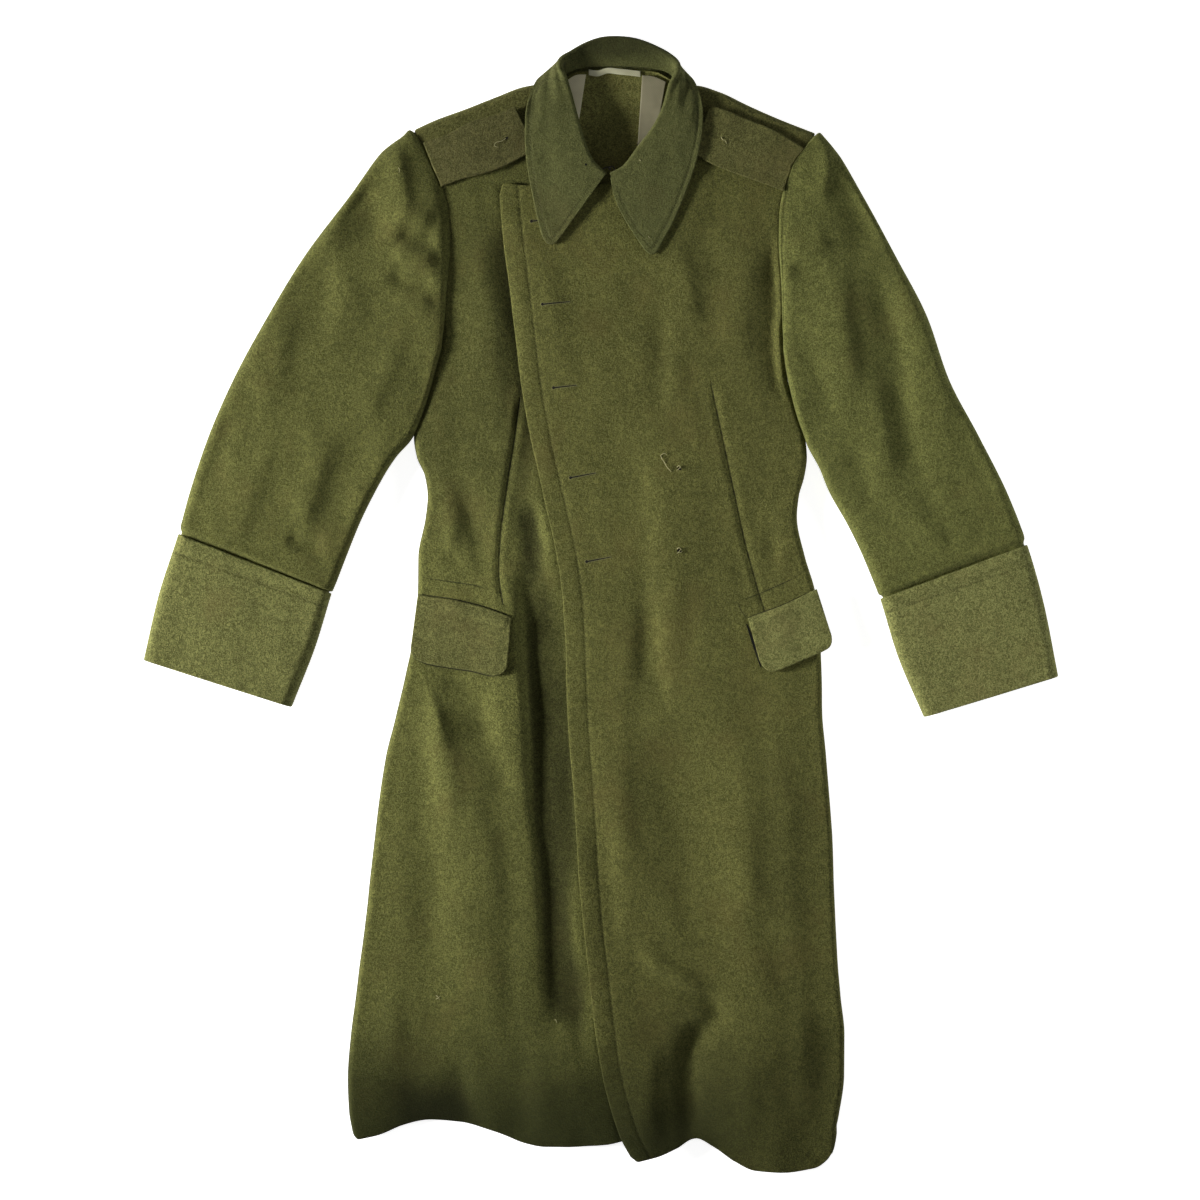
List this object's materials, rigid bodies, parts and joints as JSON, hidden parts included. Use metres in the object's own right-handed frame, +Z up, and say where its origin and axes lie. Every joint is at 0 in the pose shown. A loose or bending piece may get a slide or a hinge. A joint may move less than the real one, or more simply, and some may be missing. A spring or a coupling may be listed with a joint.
{
  "type": "military greatcoat",
  "caption": "Long double-breasted wool greatcoat laid flat, front closed, sleeves spread, with a turn-down collar, shoulder straps, turned-back cuffs and hip pocket flaps.",
  "frame": {"origin": "middle of the coat's outline on the surface that it lies on, at the height of its underside", "axes": "+Z up from the surface, +Y along the coat from the hem to the collar, +X to the right as it is looked down on"},
  "size_m": [1.0066, 1.2518, 0.0259],
  "materials": {
    "wool_body": "heavy felted wool with a short nap, olive green, matt",
    "wool_sleeves": "the same felted wool, a little lighter where the nap is worn",
    "wool_cuffs": "the same felted wool, doubled and pressed",
    "wool_collar": "finer felted wool, pressed flat",
    "wool_trim": "felted wool straps and flaps with stitched edges",
    "lining": "smooth drab cotton twill and tape with a faint sheen",
    "wire": "blackened steel wire, slightly worn"
  },
  "bodies": {
    "root": {"back": "wool_body", "front_under": "wool_body", "front_over": "wool_body", "sleeve_left": "wool_sleeves", "sleeve_right": "wool_sleeves", "cuff_left": "wool_cuffs", "cuff_right": "wool_cuffs", "collar_stand": "wool_collar", "collar_fall": "wool_collar", "shoulder_strap_left": "wool_trim", "shoulder_strap_right": "wool_trim", "pocket_flap_left": "wool_trim", "pocket_flap_right": "wool_trim", "lining_left": "lining", "lining_right": "lining", "hanger_loop": "lining", "hook": "wire", "eye": "wire"}
  },
  "joints": []
}
